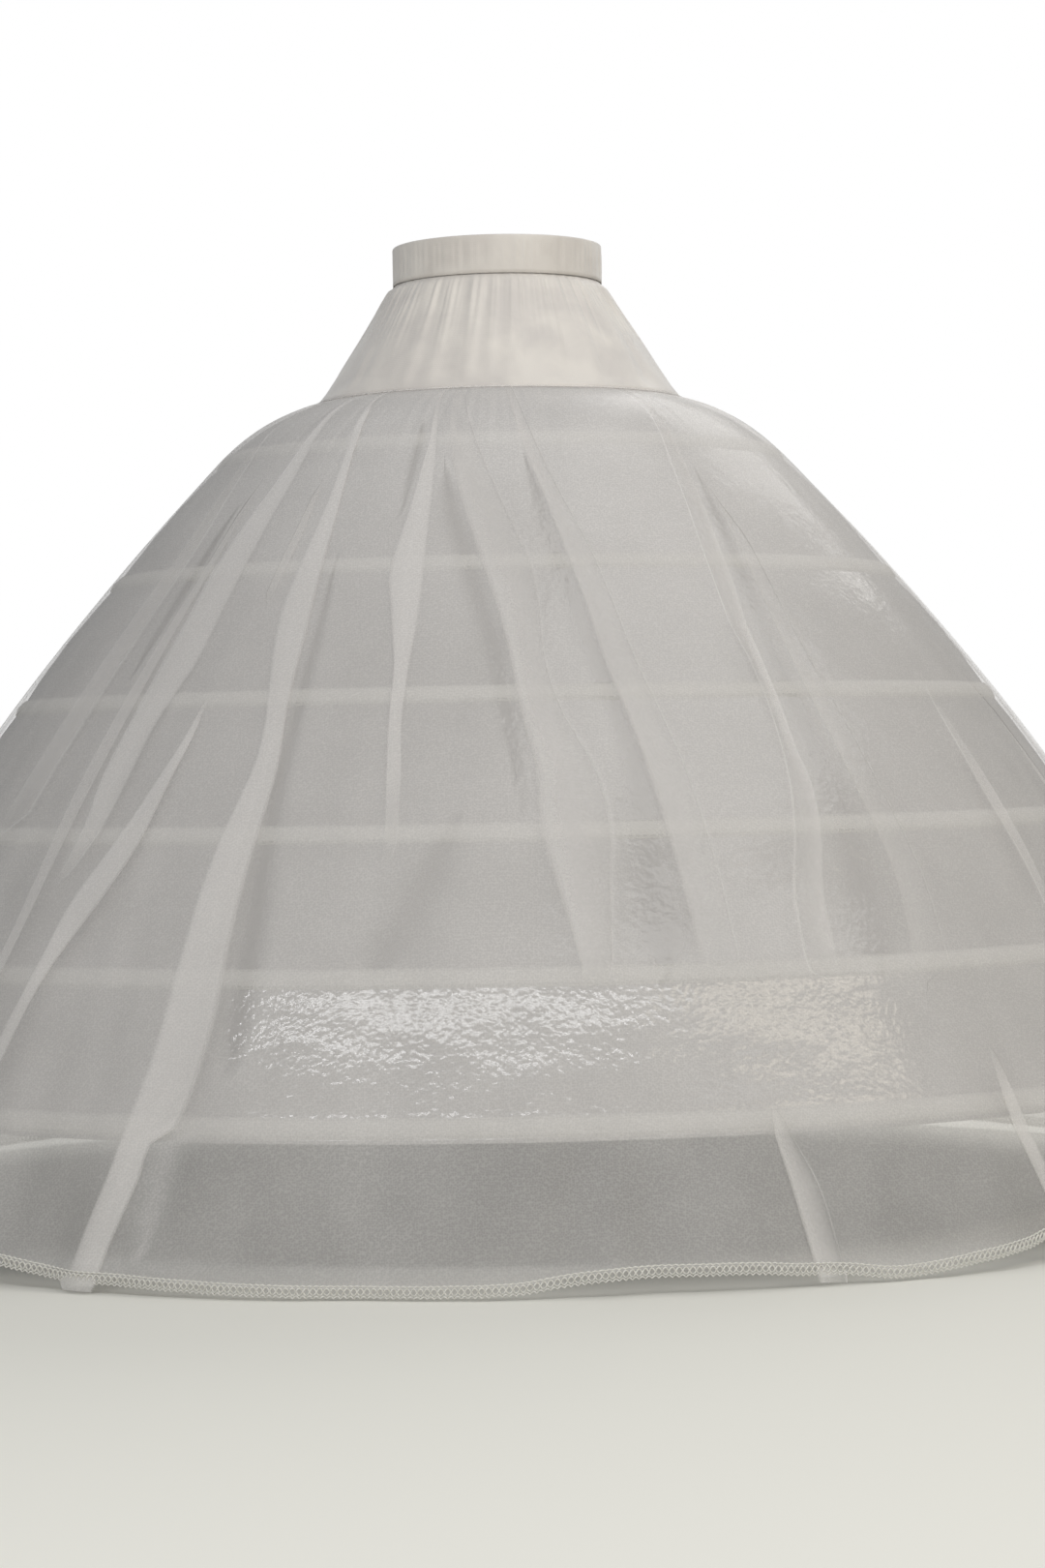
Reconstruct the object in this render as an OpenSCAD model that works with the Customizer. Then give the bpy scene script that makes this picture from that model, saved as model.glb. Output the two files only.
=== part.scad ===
// Hooped petticoat: a gathered yoke, a lining that carries covered hoops, and a net overskirt with a lace hem.
// Millimetres. The lace rests on z = 0, the wearer's axis is Z and the front faces -Y.
// Cloth is drawn thicker than it is, so that each sheet is a sound solid.

/* [Overall] */
// Height of the waistband's top edge above the floor
skirt_length = 1000; // [940:5:1060]

/* [Waist] */
// Inside radius of the waistband
waist_r = 106; // [95:1:115]
// Height of the waistband
waistband_h = 40; // [25:1:55]
// Thickness of one ply of the waistband
waistband_ply = 1; // [0.6:0.1:1.6]
// Thickness of the elastic
elastic_t = 1.6; // [1:0.1:2.4]
// Room between the elastic and the outer ply
elastic_room = 0.9; // [0.3:0.1:2]
// Room above the elastic
elastic_headroom = 2; // [0.5:0.5:6]

/* [Yoke] */
// Height of the gathered yoke
yoke_drop = 126; // [100:1:150]
// Radius of the yoke's cone where it leaves the waist seam
yoke_top_r = 112; // [108:1:120]
// Outside radius of the yoke at the hip seam
hip_r = 194; // [175:1:215]
// Thickness of the yoke's cloth
yoke_t = 1.2; // [0.8:0.1:2]
// Number of gathers around the yoke
yoke_gathers = 42; // [28:14:42]
// How far a gather stands out below the waist seam
gather_depth = 3; // [1:0.5:6]
// How far a gather stands out in the waist seam itself
seam_gather_depth = 1.4; // [0.4:0.2:2]
// Depth of the puff below the waist seam
puff_drop = 8; // [5:1:15]

/* [Hoops] */
// Number of hoops
hoop_count = 6; // [4:1:7]
// Radius of the lining at the top hoop
top_hoop_r = 292; // [270:1:305]
// Radius of the lining at the bottom hoop
hem_hoop_r = 728; // [650:1:740]
// How strongly the cage bells out, 0 for a straight cone
hoop_bell = 0.4; // [0:0.05:0.6]
// Drop from the hip seam to the top hoop
top_hoop_drop = 59; // [50:1:80]
// Height of the bottom hoop above the floor
hem_hoop_z = 140; // [100:1:200]
// Width of the hoop bone
bone_w = 6; // [4:0.5:9]
// Thickness of the hoop bone
bone_t = 1.8; // [1.2:0.1:2.6]
// Gap between the two ends of a hoop bone, inside its joiner
bone_gap = 3; // [1:0.5:8]
// Length of a joiner
joiner_l = 46; // [30:1:70]
// Wall of a joiner
joiner_wall = 0.5; // [0.3:0.1:1]
// Clearance between a joiner and the edges of the bone
joiner_clearance = 0.1; // [0.05:0.05:0.3]

/* [Casings] */
// Width of a hoop casing
casing_w = 20; // [18:1:28]
// Thickness of a casing's cloth
casing_t = 0.8; // [0.5:0.1:1.4]
// Clearance around a joiner inside its casing
casing_clearance = 0.3; // [0.1:0.1:0.8]
// Width of the slope from a casing's tunnel down to its sewn edge
casing_slope = 2; // [1:0.5:3]

/* [Lining] */
// Thickness of the lining
lining_t = 1.2; // [0.8:0.1:2]
// How far the lining's top edge sits inside the yoke's outer face
lining_inset = 0.8; // [0.4:0.1:1.2]
// Lining left below the bottom casing
lining_hem = 4; // [2:1:12]

/* [Overskirt] */
// Thickness of the net
net_t = 1.2; // [0.8:0.1:2]
// Overlap of the net on the yoke at the hip seam
seam_lap = 12; // [8:1:20]
// How far inside the top hoop the shoulder turns down
shoulder_inset = 30; // [15:1:50]
// Drop of the shoulder below the hip seam
shoulder_drop = 8; // [0:1:16]
// Distance of the net's valleys from the lining at the hoops
net_ease = 8; // [7:0.5:16]
// How far the net's valleys stand out at the hem, past the bottom hoop
hem_flare = 56; // [20:1:90]
// Number of folds around the net
fold_count = 28; // [20:4:28]
// Depth of the folds at the top hoop
upper_fold = 5; // [2:0.5:12]
// Depth of the folds at the hem
hem_fold = 26; // [10:1:36]

/* [Lace] */
// Height of the lace edging
lace_h = 14; // [8:1:24]
// Thickness of the lace
lace_t = 1.2; // [0.8:0.1:2]
// How far the lace hangs below the net
lace_drop = 4; // [2:1:6]

/* [Hidden] */
$fn = 120;
// Points around a folded sheet: six to a fold at 28 folds
around = 168;
// Points along the shoulder's curve between its ends
shoulder_steps = 3;

waistband_t = 2 * waistband_ply + elastic_t + elastic_room;
waist_z = skirt_length - waistband_h;
hip_z = waist_z - yoke_drop;
top_hoop_z = hip_z - top_hoop_drop;
hem_r = hem_hoop_r + hem_flare;
yoke_slope = (hip_r - yoke_top_r) / yoke_drop;
yoke_wall = yoke_t * sqrt(1 + yoke_slope * yoke_slope);
joiner_half_w = bone_w / 2 + joiner_clearance + joiner_wall;
joiner_h = bone_t + joiner_wall;
tunnel_half_w = joiner_half_w + casing_clearance;
tunnel_h = joiner_h + casing_clearance;

// Height of hoop i, counted from 1 at the top
function hoop_z(i) = top_hoop_z - (top_hoop_z - hem_hoop_z) * (i - 1) / (hoop_count - 1);
// How far down the cage a height is, 0 at the top hoop and 1 at the bottom one
function cage_share(z) = (top_hoop_z - z) / (top_hoop_z - hem_hoop_z);
// Radius of the cage at a height
function cage_r(z) =
    let (u = cage_share(z))
    top_hoop_r + (hem_hoop_r - top_hoop_r) * ((1 + hoop_bell) * u - hoop_bell * u * u);
// Change of the cage's radius for each millimetre down
function cage_slope(z) =
    (hem_hoop_r - top_hoop_r) / (top_hoop_z - hem_hoop_z)
    * (1 + hoop_bell - 2 * hoop_bell * cage_share(z));

// Direction down the lining at hoop i, and the direction out of it, as [radius, height]
function down_at(i) = [cage_slope(hoop_z(i)), -1] / norm([cage_slope(hoop_z(i)), -1]);
function out_at(i) = let (d = down_at(i)) [-d[1], d[0]];
// A point s down the lining from hoop i and n out of its outer face
function at_hoop(i, s, n) = [cage_r(hoop_z(i)), hoop_z(i)] + s * down_at(i) + n * out_at(i);
function section_at(i, outline) = [for (p = outline) at_hoop(i, p[0], p[1])];

// Degrees that a length takes around hoop i
function degrees_at(i, length) = length / cage_r(hoop_z(i)) * 180 / PI;

// Radius of the yoke's cone at a height
function yoke_r(z) = yoke_top_r + (waist_z - z) * yoke_slope;

// A gather from 0 to 1 at an angle, uneven around the yoke
function gather(a) = 0.5 + 0.5 * cos(yoke_gathers * a) * (0.7 + 0.3 * cos(10 * a));
// A fold from 0 to 1 at an angle: the folds drift and change in depth, and repeat each half turn
function fold(a) = 0.5 + 0.5 * cos(fold_count * a + 50 * sin(4 * a) + 30 * sin(6 * a)) * (0.7 + 0.3 * cos(8 * a));

// The angle is 0 at the front and grows toward +X
function turned(r, z, a) = [r * sin(a), -r * cos(a), z];

// A closed sheet around the axis: each row is [radius, height, depth of its waves], in order around the section
module waved_sheet(rows, gathered) {
    count = len(rows);
    points = [
        for (row = rows)
        for (j = [0 : around - 1])
        let (a = 360 * j / around)
        turned(row[0] + row[2] * (gathered ? gather(a) : fold(a)), row[1], a)
    ];
    faces = [
        for (i = [0 : count - 1])
        for (j = [0 : around - 1])
        let (
            here = i * around,
            next = (i + 1) % count * around,
            k = (j + 1) % around
        )
        for (triangle = [[here + j, here + k, next + k], [here + j, next + k, next + j]])
        triangle
    ];
    polyhedron(points = points, faces = faces, convexity = 10);
}

// Outer rows of the yoke, from the waist seam to the hip seam
yoke_rows = [
    [waist_r + waistband_t - seam_gather_depth, waist_z, seam_gather_depth],
    [yoke_r(waist_z - puff_drop), waist_z - puff_drop, gather_depth],
    [yoke_r(waist_z - yoke_drop / 2), waist_z - yoke_drop / 2, 0.7 * gather_depth],
    [yoke_r(hip_z + seam_lap), hip_z + seam_lap, 0],
    [hip_r, hip_z, 0]
];

// A point along the shoulder's curve, from the hip seam at 0 to the top hoop at 1
function shoulder(u) =
    (1 - u) * (1 - u) * [hip_r, hip_z]
    + 2 * u * (1 - u) * [top_hoop_r - shoulder_inset, hip_z - shoulder_drop]
    + u * u * [top_hoop_r + net_ease, top_hoop_z];

// Depth of the folds at a hoop or at the hem, which counts as one place below the last hoop
function fold_at(i) = upper_fold + (hem_fold - upper_fold) * (i - 1) / hoop_count;

// Inner rows of the overskirt, from its lap on the yoke to its hem
net_rows = concat(
    [[yoke_r(hip_z + seam_lap), hip_z + seam_lap, 0], [hip_r, hip_z, 0]],
    [
        for (k = [1 : shoulder_steps])
        let (u = k / (shoulder_steps + 1), p = shoulder(u))
        [p[0], p[1], u * upper_fold]
    ],
    [for (i = [1 : hoop_count]) [cage_r(hoop_z(i)) + net_ease, hoop_z(i), fold_at(i)]],
    [[hem_r, lace_h, hem_fold], [hem_r, lace_drop, hem_fold]]
);
net_last = len(net_rows) - 1;

// Direction out of the net at row k, as [radius, height]: square to the yoke at the lap and level at the hem
function net_out(k) =
    let (
        above = k < 2 ? net_rows[0] : net_rows[k - 1],
        below = k < 2 ? net_rows[1] : net_rows[min(k + 1, net_last)],
        along = [below[0] - above[0], below[1] - above[1]]
    )
    k > net_last - 2 ? [1, 0] : [-along[1], along[0]] / norm(along);

module waistband() {
    outer = [[waist_r, waist_z], [waist_r + waistband_t, waist_z],
             [waist_r + waistband_t, skirt_length], [waist_r, skirt_length]];
    tunnel_in = waist_r + waistband_ply;
    tunnel_out = waist_r + waistband_t - waistband_ply;
    tunnel = [[tunnel_in, waist_z + waistband_ply], [tunnel_out, waist_z + waistband_ply],
              [tunnel_out, skirt_length - waistband_ply], [tunnel_in, skirt_length - waistband_ply]];
    color("ivory")
    rotate_extrude()
    polygon(concat(outer, tunnel), paths = [[0, 1, 2, 3], [4, 5, 6, 7]]);
}

module waist_elastic() {
    floor_z = waist_z + waistband_ply;
    color("white")
    rotate_extrude()
    translate([waist_r + waistband_ply, floor_z])
    square([elastic_t, skirt_length - waistband_ply - elastic_headroom - floor_z]);
}

module hip_yoke() {
    last = len(yoke_rows) - 1;
    inner = [
        for (k = [last : -1 : 0])
        [yoke_rows[k][0] - yoke_wall, yoke_rows[k][1], yoke_rows[k][2]]
    ];
    color("linen")
    waved_sheet(concat(yoke_rows, inner), true);
}

module lining_skirt() {
    half = casing_w / 2;
    top_out = [hip_r - lining_inset, hip_z];
    first = at_hoop(1, -half, 0);
    run = first - top_out;
    top_in = [top_out[0] - lining_t * norm(run) / abs(run[1]), hip_z];
    outer = concat(
        [top_out],
        [for (i = [1 : hoop_count]) for (s = [-half, half]) at_hoop(i, s, 0)],
        [at_hoop(hoop_count, half + lining_hem, 0)]
    );
    inner = concat(
        [at_hoop(hoop_count, half + lining_hem, -lining_t)],
        [for (i = [hoop_count : -1 : 1]) for (s = [half, -half]) at_hoop(i, s, -lining_t)],
        [top_in]
    );
    color("whitesmoke")
    rotate_extrude()
    polygon(concat(outer, inner));
}

module overskirt() {
    outer = [
        for (k = [0 : net_last])
        let (n = net_out(k))
        [net_rows[k][0] + net_t * n[0], net_rows[k][1] + net_t * n[1], net_rows[k][2]]
    ];
    inner = [for (k = [net_last : -1 : 0]) net_rows[k]];
    color("gainsboro", 0.6)
    waved_sheet(concat(outer, inner), false);
}

module lace_hem() {
    inside = hem_r + net_t;
    loops = [
        for (r = [inside + lace_t, inside])
        for (j = [0 : around - 1])
        let (a = 360 * j / around, reach = r + hem_fold * fold(a))
        [reach * sin(a), -reach * cos(a)]
    ];
    color("white")
    linear_extrude(height = lace_h)
    polygon(
        loops,
        paths = [[for (j = [0 : around - 1]) j], [for (j = [0 : around - 1]) around + j]]
    );
}

// A strip of cloth sewn along both edges, with a tunnel between it and the lining
module hoop_casing(i) {
    edge = casing_w / 2;
    foot = tunnel_half_w + casing_slope;
    outline = [
        [-edge, 0], [-foot, 0], [-tunnel_half_w, tunnel_h], [tunnel_half_w, tunnel_h], [foot, 0], [edge, 0],
        [edge, casing_t], [foot + casing_t / 2, casing_t],
        [tunnel_half_w + casing_t / 2, tunnel_h + casing_t],
        [-tunnel_half_w - casing_t / 2, tunnel_h + casing_t],
        [-foot - casing_t / 2, casing_t], [-edge, casing_t]
    ];
    color("white")
    rotate_extrude()
    polygon(section_at(i, outline));
}

// A flat bone bent into a hoop, with its ends a little apart at the back
module hoop_bone(i) {
    half = bone_w / 2;
    gap = degrees_at(i, bone_gap);
    color("silver")
    rotate([0, 0, 90 + gap / 2])
    rotate_extrude(angle = 360 - gap)
    polygon(section_at(i, [[-half, 0], [half, 0], [half, bone_t], [-half, bone_t]]));
}

// A crimped channel over the two ends of a bone
module hoop_joiner(i) {
    inside = joiner_half_w - joiner_wall;
    span = degrees_at(i, joiner_l);
    outline = [
        [-joiner_half_w, 0], [-inside, 0], [-inside, bone_t], [inside, bone_t], [inside, 0],
        [joiner_half_w, 0], [joiner_half_w, joiner_h], [-joiner_half_w, joiner_h]
    ];
    color("gray")
    rotate([0, 0, 90 - span / 2])
    rotate_extrude(angle = span)
    polygon(section_at(i, outline));
}

waistband();
waist_elastic();
hip_yoke();
lining_skirt();
overskirt();
lace_hem();
for (i = [1 : hoop_count]) {
    hoop_casing(i);
    hoop_bone(i);
    hoop_joiner(i);
}
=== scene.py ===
"""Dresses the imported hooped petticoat: its cloth, casings, lace, finishes, light and camera.

Lengths are metres in the frame of the solids: the floor is z = 0, the waist's axis is Z and the
front faces -Y. Angles around the skirt are degrees, 0 at the front and growing toward +X.
"""

import logging
import math
from dataclasses import dataclass, replace
from enum import Enum
from typing import Any, Callable, NamedTuple, Sequence

import bmesh
import bpy
from mathutils import Matrix, Vector, noise


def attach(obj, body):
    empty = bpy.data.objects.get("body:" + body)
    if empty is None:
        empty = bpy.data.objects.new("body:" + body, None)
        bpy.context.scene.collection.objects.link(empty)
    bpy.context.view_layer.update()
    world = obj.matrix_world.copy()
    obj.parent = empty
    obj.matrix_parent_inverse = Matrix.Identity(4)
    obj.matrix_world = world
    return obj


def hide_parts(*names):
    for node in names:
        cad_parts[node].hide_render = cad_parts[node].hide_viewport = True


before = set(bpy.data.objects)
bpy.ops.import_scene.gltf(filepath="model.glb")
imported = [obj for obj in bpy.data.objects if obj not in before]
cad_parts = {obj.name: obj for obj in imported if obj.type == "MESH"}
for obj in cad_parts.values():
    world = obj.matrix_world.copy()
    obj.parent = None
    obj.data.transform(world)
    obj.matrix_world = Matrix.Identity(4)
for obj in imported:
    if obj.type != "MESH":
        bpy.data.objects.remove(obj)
LOG = logging.getLogger("petticoat")
MM = 0.001
CLOTH_MAP = "cloth"
COVER = "net_cover"
FACING = "cloth_facing"

# The colour sockets of a Mix node share their names with its others, so they go by number.
MIX_A, MIX_B, MIX_RESULT = 6, 7, 2

# Across a layer of a pleat: where it joins the net, with its cover there, where it has settled
# and where it starts to fade.
JOIN, SETTLED, FADE = 0.07, 0.14, 0.86
JOIN_COVER = 0.88

Place = Callable[[int, int], Vector]
Paint = Callable[[int, int], float]
Marks = Sequence[tuple[float, ...]]
Pair = tuple[float, float]
Triple = tuple[float, float, float]
Sockets = dict[str | int, Any] | Sequence[Any]


def polar(angle: float, radius: float, height: float) -> Vector:
    """Gives the point at an angle around the skirt.

    Args:
        angle: Degrees from the front, growing toward +X.
        radius: Distance from the waist's axis.
        height: Height above the floor.

    Returns:
        The point.
    """
    turn = math.radians(angle)
    return Vector((radius * math.sin(turn), -radius * math.cos(turn), height))


def clamp(value: float) -> float:
    """Keeps a number from 0 to 1."""
    return min(max(value, 0.0), 1.0)


def smooth(low: float, high: float, value: float) -> float:
    """Rises from 0 at low to 1 at high with level ends.

    Args:
        low: Where the rise starts.
        high: Where it ends.
        value: Where it is read.

    Returns:
        The rise, from 0 to 1.
    """
    share = clamp((value - low) / (high - low))
    return share * share * (3.0 - 2.0 * share)


def along(marks: Marks, where: float, item: int = 1) -> float:
    """Reads a smooth curve through marks whose first numbers grow.

    Args:
        marks: Tuples that start with the place of each mark.
        where: The place to read.
        item: Which number of a tuple is wanted.

    Returns:
        The number there, held level beyond both ends.
    """
    if where <= marks[0][0]:
        return marks[0][item]
    if where >= marks[-1][0]:
        return marks[-1][item]
    k = next(i for i in range(len(marks) - 1) if where < marks[i + 1][0])
    here, after = marks[k], marks[k + 1]
    before = marks[max(k - 1, 0)]
    beyond = marks[min(k + 2, len(marks) - 1)]
    span = after[0] - here[0]
    share = (where - here[0]) / span
    lead_in = (after[item] - before[item]) / (after[0] - before[0]) * span
    lead_out = (beyond[item] - here[item]) / (beyond[0] - here[0]) * span
    square, cube = share * share, share * share * share
    return (
        (2 * cube - 3 * square + 1) * here[item]
        + (cube - 2 * square + share) * lead_in
        + (3 * square - 2 * cube) * after[item]
        + (cube - square) * lead_out
    )


@dataclass(frozen=True)
class Wave:
    """An uneven wave around the skirt that closes on itself.

    About count waves go around. The seed picks one wave of many, and the drift changes it downward.
    """

    count: int
    seed: float = 0.0
    drift: float = 0.0

    def at(self, angle: float, down: float = 0.0) -> float:
        """Reads the wave.

        Args:
            angle: Degrees from the front.
            down: How far down it is read, as a share of the piece or a number of rows or hoops.

        Returns:
            The wave, from about -1 to 1.
        """
        gain, seed_step, waves_per_unit = 1.6, 7.3, 4.0
        turn = math.radians(angle)
        reach = self.count / waves_per_unit
        layer = seed_step * (self.seed + self.drift * down)
        return gain * noise.noise(Vector((reach * math.cos(turn), reach * math.sin(turn), layer)))


def linear(code: str) -> tuple[float, float, float, float]:
    """Turns an sRGB hex colour into Blender's linear one.

    Args:
        code: The colour as six hex digits after a hash sign.

    Returns:
        Red, green, blue and a full alpha.
    """
    parts = [int(code[k : k + 2], 16) / 255.0 for k in (1, 3, 5)]
    red, green, blue = (
        p / 12.92 if p <= 0.04045 else ((p + 0.055) / 1.055) ** 2.4 for p in parts
    )
    return red, green, blue, 1.0


def connect(tree: bpy.types.NodeTree, node: bpy.types.Node, sockets: Sockets) -> None:
    """Fills the inputs of a node.

    Args:
        tree: The tree that the node is in.
        node: The node.
        sockets: A value for each input or the output that feeds it, by name or in order.
    """
    for name, value in sockets.items() if isinstance(sockets, dict) else enumerate(sockets):
        if isinstance(value, bpy.types.NodeSocket):
            tree.links.new(value, node.inputs[name])
        else:
            node.inputs[name].default_value = value


def add_node(
    tree: bpy.types.NodeTree, kind: str, sockets: Sockets = (), **settings: Any
) -> bpy.types.Node:
    """Adds a shader node with its settings and links.

    Args:
        tree: The node tree to add to.
        kind: The node's Blender type, without the ShaderNode that it starts with.
        sockets: A value for each input or the output that feeds it, by name or in order.
        **settings: The node's own fields.

    Returns:
        The node.
    """
    node = tree.nodes.new("ShaderNode" + kind)
    for name, value in settings.items():
        setattr(node, name, value)
    connect(tree, node, sockets)
    return node


def start_material(name: str) -> tuple[bpy.types.Material, bpy.types.NodeTree, bpy.types.Node]:
    """Starts a material.

    Args:
        name: The material's name.

    Returns:
        The material, its node tree and its shader, which already feeds the output.
    """
    material = bpy.data.materials.new(name)
    material.use_nodes = True
    tree = material.node_tree
    return material, tree, tree.nodes["Principled BSDF"]


def wave_scale(pitch: float) -> float:
    """Gives the Wave Texture scale whose bands lie a pitch apart, in metres."""
    texture_rate = 20.0
    return 2.0 * math.pi / (texture_rate * pitch)


def even(length: float, steps: int) -> list[float]:
    """Divides a length into equal steps, both ends included."""
    return [length * step / steps for step in range(steps + 1)]


class Lay(Enum):
    """The way that the top layer of a pleat points, seen from outside."""

    LEFT = -1
    RIGHT = 1


@dataclass(frozen=True)
class Cage:
    """The sizes that the pieces share with the solids."""

    top_z: float = 1.000
    waist_z: float = 0.960
    waist_r: float = 0.106
    band_t: float = 0.0045
    hip_z: float = 0.834
    hip_r: float = 0.194
    yoke_top_r: float = 0.112
    hoop_count: int = 6
    top_hoop_z: float = 0.775
    hem_hoop_z: float = 0.140
    top_hoop_r: float = 0.292
    hem_hoop_r: float = 0.728
    bell: float = 0.4
    casing_w: float = 0.020
    lining_hem: float = 0.004
    hem_r: float = 0.784

    def hoop_z(self, number: int) -> float:
        """Gives the height of a hoop, counted from 1 at the top."""
        drop = self.top_hoop_z - self.hem_hoop_z
        return self.top_hoop_z - drop * (number - 1) / (self.hoop_count - 1)

    def radius(self, height: float) -> float:
        """Gives the lining's outer radius at a height."""
        share = (self.top_hoop_z - height) / (self.top_hoop_z - self.hem_hoop_z)
        grown = (1 + self.bell) * share - self.bell * share * share
        return self.top_hoop_r + (self.hem_hoop_r - self.top_hoop_r) * grown

    def slope(self, height: float) -> float:
        """Gives how fast the lining's radius grows downward at a height."""
        drop = self.top_hoop_z - self.hem_hoop_z
        share = (self.top_hoop_z - height) / drop
        return (self.hem_hoop_r - self.top_hoop_r) / drop * (1 + self.bell - 2 * self.bell * share)

    def yoke_r(self, height: float) -> float:
        """Gives the outer radius of the yoke's cone at a height."""
        share = (self.waist_z - height) / (self.waist_z - self.hip_z)
        return self.yoke_top_r + (self.hip_r - self.yoke_top_r) * share

    def at_hoop(self, number: int, down: float, out: float) -> Pair:
        """Gives a place near a hoop.

        Args:
            number: The hoop, counted from 1 at the top.
            down: Distance down the lining from the hoop.
            out: Distance out of the lining's outer face.

        Returns:
            The radius and the height.
        """
        height = self.hoop_z(number)
        slope = self.slope(height)
        length = math.hypot(slope, 1.0)
        across, fall = slope / length, -1.0 / length
        return self.radius(height) + down * across - out * fall, height + down * fall + out * across


CAGE = Cage()


@dataclass
class RingSheet:
    """A cloth sheet that closes around the waist's axis, as a grid of columns and rows."""

    name: str
    columns: int
    rows: int
    tube: bool = False

    def build(
        self,
        place: Place,
        around: Sequence[float],
        down: Sequence[float],
        cover: Paint | None = None,
        facing: Place | None = None,
    ) -> bpy.types.Object:
        """Makes a grid, maps the cloth on it, moves its points around the axis and welds its ends.

        Args:
            place: Gives the point for a column and a row.
            around: How far around the cloth each line of columns is, with one more at the seam.
            down: How far down the cloth each line of rows is.
            cover: Gives how thick a net looks at a column and a row.
            facing: Gives the way that a sheet with sharp folds faces at a column and a row.

        Returns:
            The sheet, at the origin.
        """
        bm = bmesh.new()
        paint = bm.verts.layers.float.new(COVER) if cover else None
        turn = bm.verts.layers.float_vector.new(FACING) if facing else None
        strips = self.rows if self.tube else self.rows - 1
        half = 0.5
        bmesh.ops.create_grid(bm, x_segments=self.columns, y_segments=strips, size=half)
        cells = {
            v: (round((v.co.x + half) * self.columns), round((half - v.co.y) * strips))
            for v in bm.verts
        }
        layer = bm.loops.layers.uv.new(CLOTH_MAP)
        for face in bm.faces:
            for loop in face.loops:
                column, row = cells[loop.vert]
                loop[layer].uv = (around[column], -down[row])
        for vert, (column, row) in cells.items():
            vert.co = place(column % self.columns, row % self.rows)
            if cover:
                vert[paint] = cover(column % self.columns, row)
            if facing:
                vert[turn] = facing(column % self.columns, row)
        ends = (0, strips) if self.tube else ()
        sides = (0, self.columns)
        seam = [v for v, (column, row) in cells.items() if column in sides or row in ends]
        bmesh.ops.remove_doubles(bm, verts=seam, dist=1e-6)
        self.face_out(bm)
        mesh = bpy.data.meshes.new(self.name)
        bm.to_mesh(mesh)
        bm.free()
        mesh.shade_smooth()
        if facing:
            self.face_softly(mesh)
        piece = bpy.data.objects.new(self.name, mesh)
        bpy.context.collection.objects.link(piece)
        return piece

    def face_softly(self, mesh: bpy.types.Mesh) -> None:
        """Shades each face as part of the soft cloth, so that a sharp fold shows no dark line.

        Args:
            mesh: The sheet, with the way the cloth faces at each point.
        """
        ways = [Vector(point.vector) for point in mesh.attributes[FACING].data]
        normals = [Vector((0.0, 0.0, 1.0))] * len(mesh.loops)
        for polygon in mesh.polygons:
            for k in polygon.loop_indices:
                way = ways[mesh.loops[k].vertex_index]
                normals[k] = way if way.dot(polygon.normal) > 0.0 else -way
        mesh.attributes.remove(mesh.attributes[FACING])
        mesh.normals_split_custom_set(normals)

    def angle(self, column: int) -> float:
        """Gives the angle of a column, in degrees from the front; the first is at the back."""
        return 360.0 * column / self.columns - 180.0

    def face_out(self, bm: bmesh.types.BMesh) -> None:
        """Turns the faces so that the outer side of the cloth faces away from the axis.

        Args:
            bm: The sheet with its points in place.
        """
        if self.tube:
            bmesh.ops.recalc_face_normals(bm, faces=bm.faces[:])
            return
        bm.normal_update()
        upward = 0.3
        outward = 0.0
        for face in bm.faces:
            middle = face.calc_center_median()
            away = Vector((middle.x, middle.y, upward))
            outward += face.normal.dot(away) * face.calc_area()
        if outward < 0.0:
            bmesh.ops.reverse_faces(bm, faces=bm.faces[:])


@dataclass(frozen=True)
class NetFinish:
    """Polyester tulle: a sheer white mesh.

    One layer half hides what is behind it, and folded layers look paler. The ranges are what is
    read, from low to high, and the cover that it gives, from low to high.
    """

    color: str = "#F8F5F2"
    cover: float = 0.40
    mesh_pitch: float = 2.0 * MM
    mesh_range: tuple[float, ...] = (0.3, 0.8, 0.9, 1.12)
    patch: float = 0.09
    patch_range: tuple[float, ...] = (0.3, 0.7, 0.92, 1.08)
    roughness: float = 0.5

    def material(self) -> bpy.types.Material:
        """Makes the material; its mesh is drawn a little coarser than the real one, to show."""
        material, tree, shader = start_material("polyester_tulle")
        place = add_node(tree, "TexCoord").outputs["Object"]
        cells = {"Vector": place, "Scale": 1.0 / self.mesh_pitch, "Randomness": 0.7}
        mesh = add_node(tree, "TexVoronoi", cells, feature="F1").outputs["Distance"]
        thread = add_node(tree, "MapRange", (mesh, *self.mesh_range))
        patches = {"Vector": place, "Scale": 1.0 / self.patch, "Detail": 2.0}
        drift = add_node(tree, "TexNoise", patches)
        uneven = add_node(tree, "MapRange", (drift.outputs["Fac"], *self.patch_range))
        # The painted cover holds the pleats' layers, the gathers at the hip and the bands of painted
        # shade and light.
        painted = add_node(tree, "Attribute", attribute_name=COVER)
        cover = thread.outputs["Result"]
        for factor in (uneven.outputs["Result"], painted.outputs["Fac"]):
            product = add_node(tree, "Math", (cover, factor), operation="MULTIPLY")
            cover = product.outputs["Value"]
        alpha = add_node(tree, "Math", (cover, self.cover), operation="MULTIPLY", use_clamp=True)
        relief = {"Height": mesh, "Strength": 0.1, "Distance": 0.2 * MM}
        bump = add_node(tree, "Bump", relief)
        surface = {
            "Base Color": linear(self.color),
            "Roughness": self.roughness,
            "Sheen Weight": 0.1,
            "Alpha": alpha.outputs["Value"],
            "Normal": bump.outputs["Normal"],
        }
        connect(tree, shader, surface)
        return material


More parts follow.
